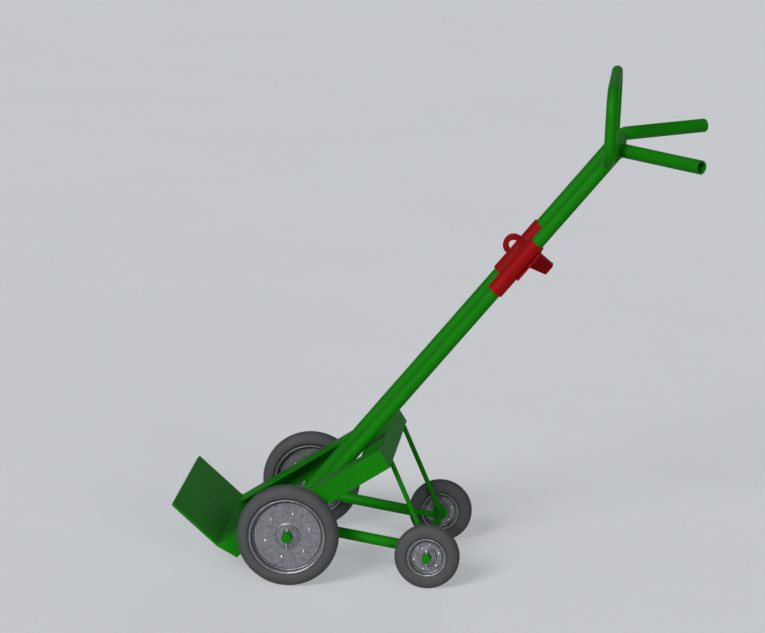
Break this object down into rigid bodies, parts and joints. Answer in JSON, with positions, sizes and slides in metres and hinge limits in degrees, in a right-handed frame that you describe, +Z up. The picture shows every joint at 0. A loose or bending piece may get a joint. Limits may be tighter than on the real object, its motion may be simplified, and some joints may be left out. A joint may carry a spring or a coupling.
{
  "type": "drum trolley",
  "caption": "Tilted drum trolley: tube rails with flared handles and a hoop on an angle-steel base, a sliding rim hook, large main wheels and small rear support wheels.",
  "frame": {"origin": "on the floor under the middle of the trolley's box", "axes": "+X back from the toe plate to the handles, +Y to the operator's right, +Z up"},
  "size_m": [1.2508, 0.6164, 1.2615],
  "materials": {
    "green_paint": "semi-gloss",
    "red_paint": "semi-gloss",
    "tyre_rubber": "matt grey rubber",
    "galvanised_sheet": "hot-dip galvanised",
    "zinc_steel": "zinc plated",
    "bush_plastic": "moulded"
  },
  "bodies": {
    "frame": {"main_axle": "green_paint", "rear_axle": "green_paint", "handle_cross_tube": "green_paint", "handle_hoop": "green_paint", "rear_cross_bar": "green_paint", "toe_plate": "green_paint", "left_rail": "green_paint", "right_rail": "green_paint", "left_side_bar": "green_paint", "right_side_bar": "green_paint", "left_support_tube": "green_paint", "right_support_tube": "green_paint", "left_support_plug": "green_paint", "right_support_plug": "green_paint", "left_support_rod": "green_paint", "right_support_rod": "green_paint", "left_strut": "green_paint", "right_strut": "green_paint", "left_axle_collar": "green_paint", "right_axle_collar": "green_paint", "main_axle_spacers": "zinc_steel", "main_axle_washers": "galvanised_sheet", "rear_axle_washers": "galvanised_sheet", "main_split_pins": "zinc_steel", "rear_split_pins": "zinc_steel"},
    "hook_carriage": {"left_sleeve": "red_paint", "right_sleeve": "red_paint", "carriage_plate": "red_paint", "rim_hook": "red_paint", "carriage_grip": "red_paint"},
    "left_main_wheel": {"left_main_tyre": "tyre_rubber", "left_main_outer_disc": "galvanised_sheet", "left_main_inner_disc": "galvanised_sheet", "left_main_hub": "galvanised_sheet", "left_main_bush": "bush_plastic", "left_main_rivets": "zinc_steel"},
    "left_rear_wheel": {"left_rear_tyre": "tyre_rubber", "left_rear_outer_disc": "galvanised_sheet", "left_rear_inner_disc": "galvanised_sheet", "left_rear_hub": "galvanised_sheet", "left_rear_bush": "bush_plastic", "left_rear_rivets": "zinc_steel"},
    "right_main_wheel": {"right_main_tyre": "tyre_rubber", "right_main_outer_disc": "galvanised_sheet", "right_main_inner_disc": "galvanised_sheet", "right_main_hub": "galvanised_sheet", "right_main_bush": "bush_plastic", "right_main_rivets": "zinc_steel"},
    "right_rear_wheel": {"right_rear_tyre": "tyre_rubber", "right_rear_outer_disc": "galvanised_sheet", "right_rear_inner_disc": "galvanised_sheet", "right_rear_hub": "galvanised_sheet", "right_rear_bush": "bush_plastic", "right_rear_rivets": "zinc_steel"}
  },
  "joints": [
    {"name": "carriage_slide", "type": "slide", "parent": "frame", "child": "hook_carriage", "axis": [0.6095, 0, 0.7928], "range_m": [-0.44, 0.23]},
    {"name": "left_main_wheel_spin", "type": "hinge", "parent": "frame", "child": "left_main_wheel", "pos_m": [-0.33275, -0.263, 0.125], "axis": [0, 1, 0], "continuous": true},
    {"name": "left_rear_wheel_spin", "type": "hinge", "parent": "frame", "child": "left_rear_wheel", "pos_m": [0.00625, -0.211, 0.08], "axis": [0, 1, 0], "continuous": true},
    {"name": "right_main_wheel_spin", "type": "hinge", "parent": "frame", "child": "right_main_wheel", "pos_m": [-0.33275, 0.263, 0.125], "axis": [0, 1, 0], "continuous": true},
    {"name": "right_rear_wheel_spin", "type": "hinge", "parent": "frame", "child": "right_rear_wheel", "pos_m": [0.00625, 0.211, 0.08], "axis": [0, 1, 0], "continuous": true}
  ]
}
